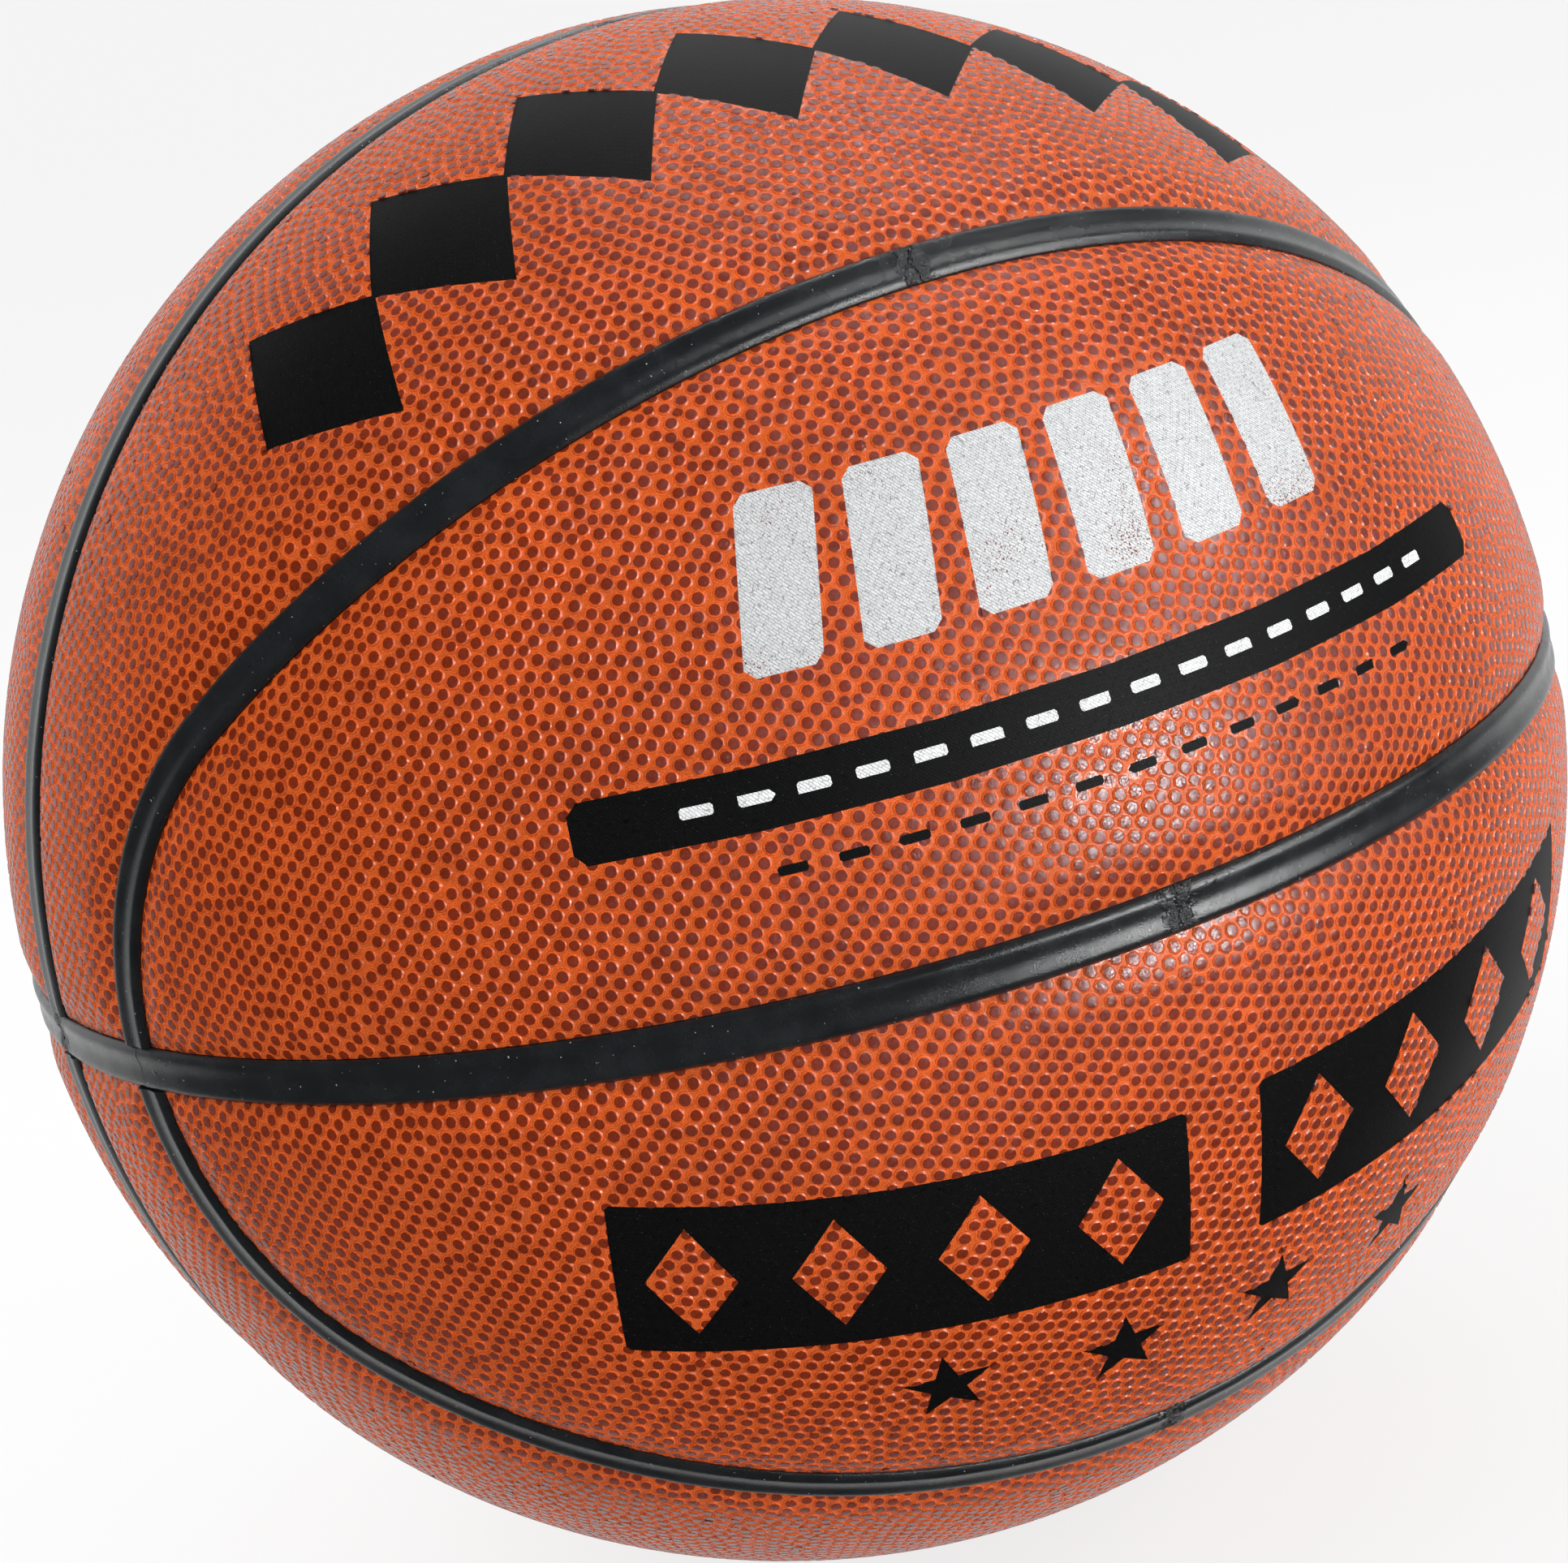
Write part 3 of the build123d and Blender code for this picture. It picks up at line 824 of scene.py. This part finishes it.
    # the rim and the inner side
    outerLoops = sum(len(part) for part in faceLoops)
    pairs = np.stack([loops, loops[nextLoops(starts, counts)]], axis=1)
    key = np.sort(pairs, axis=1)
    key = key[:, 0].astype(np.int64) * len(co) + key[:, 1]
    _, back, uses = np.unique(key, return_inverse=True, return_counts=True)
    rim = pairs[uses[back] == 1]
    inner = rim + len(outer)
    rimFaces = np.stack([rim[:, 1], rim[:, 0], inner[:, 0], inner[:, 1]], axis=1)
    addFaces(rimFaces, chart=np.full(rimFaces.shape + (2,), 4.0))
    for count in np.unique(counts):
        table = loops[starts[counts == count][:, None] + np.arange(count)]
        addFaces(table[:, ::-1] + len(outer))
    allLoops, allCounts = np.concatenate(faceLoops), np.concatenate(faceCounts)
    mesh = bpy.data.meshes.new(name)
    mesh.vertices.add(len(outer) + len(co))
    mesh.vertices.foreach_set("co", np.concatenate([outer, corners * seatRadius]).ravel())
    mesh.loops.add(len(allLoops))
    mesh.loops.foreach_set("vertex_index", allLoops.astype(np.int32))
    mesh.polygons.add(len(allCounts))
    mesh.polygons.foreach_set("loop_start", (np.cumsum(allCounts) - allCounts).astype(np.int32))
    mesh.update(calc_edges=True)
    mesh.polygons.foreach_set("use_smooth", np.ones(len(allCounts), dtype=bool))
    for look in coverLooks if (looks > 0).any() else coverLooks[:1]:
        mesh.materials.append(look)
    mesh.polygons.foreach_set("material_index", np.concatenate(faceLooks).astype(np.int32))
    tint = mesh.attributes.new("tint", "FLOAT", "POINT")
    tint.data.foreach_set("value", np.concatenate(tints + [np.full(len(co), 0.5)]).astype(np.float32))
    mesh.uv_layers.new(name="pebble").data.foreach_set("uv", np.concatenate(loopMaps).astype(np.float32).ravel())
    # shading normals: flat valleys, rounded rims, nearly flat tops, plain walls behind
    up = rolledNormals(np.concatenate([directions, corners]))[allLoops]
    tilts = np.concatenate(loopTilts)[:, None]
    normals = unit(up * np.cos(tilts) + np.concatenate(loopLeans) * np.sin(tilts))
    faceNormals = np.repeat(readValues(mesh.polygons, "normal", width=3), allCounts, axis=0)
    normals[outerLoops:] = faceNormals[outerLoops:]
    mesh.normals_split_custom_set(normals)
    return freshObject(name, mesh)


def makePanel(kind, sideName, levelName, seed):
    rng = np.random.default_rng(seed)
    side, level = sideSigns[sideName], levelSigns[levelName]
    name = f"{kind}_panel_{sideName}_{levelName}"
    inside = panelInside(kind, side, level)
    towards = unit(np.array([side, 0, 0.4 * level] if kind == "side" else [0.4 * side, 0, level]))
    points = panelCentres(inside, towards, rng)
    sheet = cellSheet(name + "Cells", points, towards, inside)
    cutAlongSeams(sheet, kind, side, level)
    dropFaces(sheet, ~inside(faceCentres(sheet.data), -panelEdge))
    if name in presses:
        presses[name](sheet)
    if name == valve["panel"]:
        pressOutline(sheet, turnedFrame(valve["axis"], yAxis, 0), circle(valve["hole"], 24), valve["look"])
        dropFaces(sheet, readLooks(sheet.data) == valve["look"])
    panel = pebbleSkin(name + "_cover", sheet, side, rng)
    bpy.data.objects.remove(sheet)
    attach(panel, "ball")
    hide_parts(name)
    counts = readMesh(panel.data)[3]
    print(panel.name, "triangles", int((counts - 2).sum()))
    return panel


bpy.context.tool_settings.mesh_select_mode = (False, False, True)
panels = []
for kind in ("side", "centre"):
    for sideName in sideSigns:
        for levelName in levelSigns:
            panels.append(makePanel(kind, sideName, levelName, cover["seed"] + len(panels)))
print("cover panels made")


# seam strips

strip = {
    "shoulder": 0.75 * mm,  # the edges, under the crests
    "dish": 0.28 * mm,  # the middle, under the crests
    "crestShare": 0.66,  # where the crests lie, of the half width
    "acrossSteps": 20,
    "step": 1.1 * mm,  # along the strip
    "fineStep": 0.25 * mm,  # near a splice
    "fineLength": 6 * mm,
    "waver": 0.05 * mm,
    "dip": 0.12 * mm,  # at a splice
    "crumb": 0.3 * mm,
    "ragged": 0.9 * mm,  # along the strip, at its end
    "patch": 2.4 * mm,  # reach of the rough patch at a splice
    "seedStep": 7.3,  # from one strip to the next
}


def stripTop(share):
    # height of the top under its crests: a dish in the middle, shoulders beside it
    crest = strip["crestShare"]
    if share < crest:
        return strip["dish"] * (0.5 + 0.5 * math.cos(math.pi * share / crest))
    return strip["shoulder"] * ((share - crest) / (1 - crest)) ** 2


def stripSection(middle, across):
    # closed outline of the section in the plane of its middle and its side direction
    half = seams["stripHalf"]
    spots = [(-half, stripSeat)]
    for k in range(strip["acrossSteps"] + 1):
        share = math.sin((k / strip["acrossSteps"] - 0.5) * math.pi)
        spots.append((share * half, stripCrest - stripTop(abs(share))))
    spots += [(half, stripSeat), (0, stripSeat)]
    return [tuple(middle * height + across * offset) for offset, height in spots]


def spinStrip(name, middle, across, turns, trim):
    # spins the section along the strip's arcs: each turn is an axis and an angle
    spots = stripSection(middle, across)
    edges = [(k, (k + 1) % len(spots)) for k in range(len(spots))]
    mesh = bpy.data.meshes.new(name)
    mesh.from_pydata(spots, edges, [])
    obj = freshObject(name, mesh)
    bpy.ops.object.mode_set(mode="EDIT")
    bpy.ops.mesh.select_mode(type="VERT")
    bpy.ops.mesh.select_all(action="SELECT")
    fine = strip["fineLength"] / ballRadius
    for order, (axis, angle, radius) in enumerate(turns):
        if order == 0:
            steps = round(strip["fineLength"] / strip["fineStep"])
            bpy.ops.mesh.spin(steps=steps, angle=fine, center=(0, 0, 0), axis=tuple(-axis))
            angle -= fine
        bpy.ops.mesh.spin(steps=max(4, round(angle * radius / strip["step"])), angle=angle,
                          center=(0, 0, 0), axis=tuple(-axis))
    if trim:
        bpy.ops.mesh.select_all(action="SELECT")
        bpy.ops.mesh.bisect(plane_co=(0, 0, seams["stripHalf"] + seams["spliceGap"]), plane_no=(0, 0, 1),
                            clear_inner=True, threshold=0.005 * mm)
    bpy.ops.mesh.select_all(action="SELECT")
    bpy.ops.mesh.fill_holes(sides=60)
    bpy.ops.object.mode_set(mode="OBJECT")
    return obj


def roughenStrip(obj, start, along, seed):
    # slight waver everywhere; a ragged end and a dip with crumbs where the strip meets the next one
    co = readMesh(obj.data)[0]
    onward = along * np.sign(along[np.abs(along).argmax()])
    radius = np.linalg.norm(co, axis=1)
    top = np.clip((radius - stripSeat - 0.2 * mm) / (0.3 * mm), 0, 1)
    away = np.abs(co @ along - start @ along * ballRadius)
    shift, slip = np.zeros(len(co)), np.zeros(len(co))
    for index, point in enumerate(co):
        if away[index] < 3 * mm:
            flat = Vector(point - onward * (point @ onward)) / mm
            ragged = noise.noise(flat * 0.55) + 0.5 * noise.noise(flat * 1.7)
            slip[index] = strip["ragged"] * ragged * math.exp(-(away[index] / mm) ** 2)
        if top[index] > 0:
            spot = Vector(point) / mm
            shift[index] = strip["waver"] * noise.noise(spot * 0.24 + Vector((seed, 0, 0)))
            near = math.exp(-((away[index] / mm) / 1.7) ** 2)
            if near > 0.02:
                shift[index] += strip["crumb"] * near * noise.noise(spot * 2.1 + Vector((0, seed, 0)))
    shift -= strip["dip"] * np.exp(-((away / mm) / 1.2) ** 2)
    co = co * (1 + shift * top / radius)[:, None] + onward * slip[:, None]
    obj.data.vertices.foreach_set("co", co.ravel())
    splice = obj.data.attributes.new("splice", "FLOAT", "POINT")
    splice.data.foreach_set("value", np.exp(-((away / strip["patch"]) ** 2)).astype(np.float32))
    obj.data.update()


def finishStrip(obj, node, signs, start, along, seed):
    co = readMesh(obj.data)[0] * signs
    obj.data.vertices.foreach_set("co", co.ravel())
    roughenStrip(obj, start * signs, along * signs, seed)
    bpy.ops.object.mode_set(mode="EDIT")
    bpy.ops.mesh.select_all(action="SELECT")
    bpy.ops.mesh.normals_make_consistent(inside=False)
    bpy.ops.object.mode_set(mode="OBJECT")
    bpy.ops.object.shade_smooth_by_angle(angle=math.radians(50))
    obj.data.materials.append(stripLook)
    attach(obj, "ball")
    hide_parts(node)


def rotated(vector, axis, angle):
    return np.array(Matrix.Rotation(angle, 3, Vector(axis)) @ Vector(vector))


halfSplice = seams["spliceGap"] / 2 / ballRadius
turnReach = ballRadius * math.sin(turnRadius)
stripKinds = {
    "equator_strip": (xAxis, zAxis, [(zAxis, reach - 2 * halfSplice, ballRadius)], False),
    "equator_link": (yAxis, zAxis, [(-zAxis, math.pi / 2 - reach - 2 * halfSplice, ballRadius)], False),
    "meridian_strip": (zAxis, xAxis, [(-xAxis, math.pi / 2, ballRadius)], True),
    "loop_strip": (loopMiddle, loopPole,
                   [(loopPole, longArc - halfSplice, ballRadius), (-turnPole, turnArc, turnReach)], True),
}


def makeStrip(kind, node, signs, seed):
    middle, across, turns, trim = stripKinds[kind]
    start = rotated(middle, turns[0][0], halfSplice)
    along = np.cross(turns[0][0], middle)
    obj = spinStrip(node + "_look", start, across, turns, trim)
    finishStrip(obj, node, np.array(signs), start, along, seed)


stripNodes = []
for endName, end in endSigns.items():
    for sideName, side in sideSigns.items():
        for kind in ("equator_strip", "equator_link"):
            stripNodes.append((kind, f"{kind}_{sideName}_{endName}", (side, end, 1)))
        for levelName, level in levelSigns.items():
            stripNodes.append(("loop_strip", f"loop_strip_{sideName}_{levelName}_{endName}", (side, end, level)))
    for levelName, level in levelSigns.items():
        stripNodes.append(("meridian_strip", f"meridian_strip_{levelName}_{endName}", (1, end, level)))
for number, (kind, node, signs) in enumerate(stripNodes, 1):
    makeStrip(kind, node, signs, number * strip["seedStep"])
print("seam strips made:", len(stripNodes))


# valve and inner layers keep their solids' shapes

innerLooks = {
    "valve_housing": ("valveRubber", (0.016, 0.017, 0.019, 1), 0.45),
    "valve_core": ("plugRubber", (0.010, 0.010, 0.011, 1), 0.5),
    "carcass": ("carcassRubber", (0.03, 0.03, 0.032, 1), 0.6),
    "thread_winding": ("nylonThread", (0.62, 0.60, 0.54, 1), 0.6),
    "bladder": ("butylBladder", (0.014, 0.014, 0.015, 1), 0.5),
}
for name, look in innerLooks.items():
    nodes[name].data.materials.clear()
    nodes[name].data.materials.append(rubberMaterial(*look))


# camera, floor and lights

view = {
    "distance": 585.4 * mm,
    "right": (0.42275217, 0.87737663, -0.22691595),
    "up": (-0.14004016, 0.3106297, 0.94015847),
    "toward": (0.8953599, -0.36567669, 0.25418735),
    "lens": 85.08,
    "shift": (-0.00058, -0.00165),
}
cameraData = bpy.data.cameras.new("camera")
cameraData.lens = view["lens"]
cameraData.sensor_width = 36
cameraData.shift_x, cameraData.shift_y = view["shift"]
cameraData.clip_start = 0.01
camera = bpy.data.objects.new("camera", cameraData)
bpy.context.scene.collection.objects.link(camera)
cameraTurn = Matrix([view["right"], view["up"], view["toward"]]).transposed()
camera.matrix_world = Matrix.Translation(Vector(view["toward"]) * view["distance"]) @ cameraTurn.to_4x4()
bpy.context.scene.camera = camera


studio = {
    "floorRadius": 40,
    "floor": (0.82, 0.82, 0.82, 1),
    "glow": 0.8,  # of the floor, in what the camera and reflections see
    "daylight": 0.66,  # the world's strength on the surfaces
    "curtainRadius": 0.14,
    "curtainFront": (-42, -62),  # from clear to closed, in millimetres behind the ball's middle
    "curtainBack": (45, 95),
}


def mixSurface(tree, share, first, second):
    mix = addNode(tree, "MixShader", {0: share, 1: first.outputs[0], 2: second.outputs[0]})
    tree.links.new(mix.outputs[0], tree.nodes["Material Output"].inputs["Surface"])


def seenDirectly(tree):
    # 1 for camera, glossy and transmission rays, which see the white surroundings
    path = addNode(tree, "LightPath").outputs
    seen = calculate(tree, "MAXIMUM", path["Is Camera Ray"], path["Is Glossy Ray"])
    return calculate(tree, "MAXIMUM", seen, path["Is Transmission Ray"])


bpy.ops.mesh.primitive_circle_add(vertices=96, radius=studio["floorRadius"], fill_type="NGON",
                                  location=(0, 0, cadBox[0].z))
floor = bpy.context.object
floor.name = "floor"
floorMaterial, tree, floorShader = newMaterial("paleFloor")
finishShader(tree, floorShader, Base_Color=studio["floor"], Roughness=0.9, Specular_IOR_Level=0.0)
glow = addNode(tree, "Emission", {"Color": (1, 1, 1, 1), "Strength": 1.0})
mixSurface(tree, calculate(tree, "MULTIPLY", seenDirectly(tree), studio["glow"]), floorShader, glow)
floorMaterial.cycles.emission_sampling = "NONE"
floor.data.materials.append(floorMaterial)

world = bpy.data.worlds.new("studio")
bpy.context.scene.world = world
world.use_nodes = True
tree = world.node_tree
worldLevel = rescale(tree, seenDirectly(tree), 0, 1, studio["daylight"], 1.0)
tree.links.new(worldLevel, tree.nodes["Background"].inputs["Strength"])
tree.nodes["Background"].inputs["Color"].default_value = (1, 1, 1, 1)
world.cycles.sampling_method = "NONE"


def placeFacing(obj, fromCamera, distance):
    # sets an object off from the ball along right, up and toward the camera, facing the ball
    direction = cameraTurn @ Vector(fromCamera).normalized()
    turn = direction.to_track_quat("Z", "Y").to_matrix().to_4x4()
    obj.matrix_world = Matrix.Translation(direction * distance) @ turn


def addSoftbox(name, fromCamera, distance, size, watts):
    data = bpy.data.lights.new(name, "AREA")
    data.shape = "RECTANGLE"
    data.size, data.size_y = size
    data.energy = watts
    data.cycles.use_multiple_importance_sampling = False
    lamp = bpy.data.objects.new(name, data)
    bpy.context.scene.collection.objects.link(lamp)
    placeFacing(lamp, fromCamera, distance)
    lamp.visible_camera = False
    return lamp


softboxes = {
    # direction as camera's right, up and front; distance, size, watts, watts in reflections alone
    "key": ((0.73, 0.02, 0.69), 1.05, (0.40, 0.30), 5.0, 6.6),
    "rim": ((0.72, 0.52, 0.42), 1.2, (0.40, 0.40), 3.7, 2.8),
    "top": ((0.05, 0.95, -0.10), 1.3, (1.0, 0.8), 3.5, 2.5),
}
for name, (fromCamera, distance, size, watts, sparkWatts) in softboxes.items():
    addSoftbox(name + "Light", fromCamera, distance, size, watts)
    spark = addSoftbox(name + "Spark", fromCamera, distance, size, sparkWatts)
    spark.visible_diffuse = False
fill = addSoftbox("fillLight", (-0.75, 0.55, 0.40), 1.2, (1.0, 1.0), 8.5)
fill.visible_glossy = False

# dark curtain close round the ball, before and behind it, met by reflections only
bpy.ops.mesh.primitive_uv_sphere_add(segments=48, ring_count=24, radius=studio["curtainRadius"])
curtain = bpy.context.object
curtain.name = "curtain"
curtainMaterial, tree, curtainShader = newMaterial("darkCurtain")
finishShader(tree, curtainShader, Base_Color=(0.03, 0.03, 0.03, 1), Roughness=1.0, Specular_IOR_Level=0.0)
behind = cameraTurn @ Vector((-0.03, 0.06, -1)).normalized()
depth = addNode(tree, "VectorMath", {0: ownPlace(tree), 1: behind}, operation="DOT_PRODUCT").outputs["Value"]
closed = calculate(tree, "MAXIMUM", rescale(tree, depth, *studio["curtainFront"]),
                   rescale(tree, depth, *studio["curtainBack"]))
mixSurface(tree, closed, addNode(tree, "BsdfTransparent"), curtainShader)
curtain.data.materials.append(curtainMaterial)
curtain.visible_camera = curtain.visible_diffuse = curtain.visible_shadow = False

bpy.context.scene.view_settings.view_transform = "Standard"
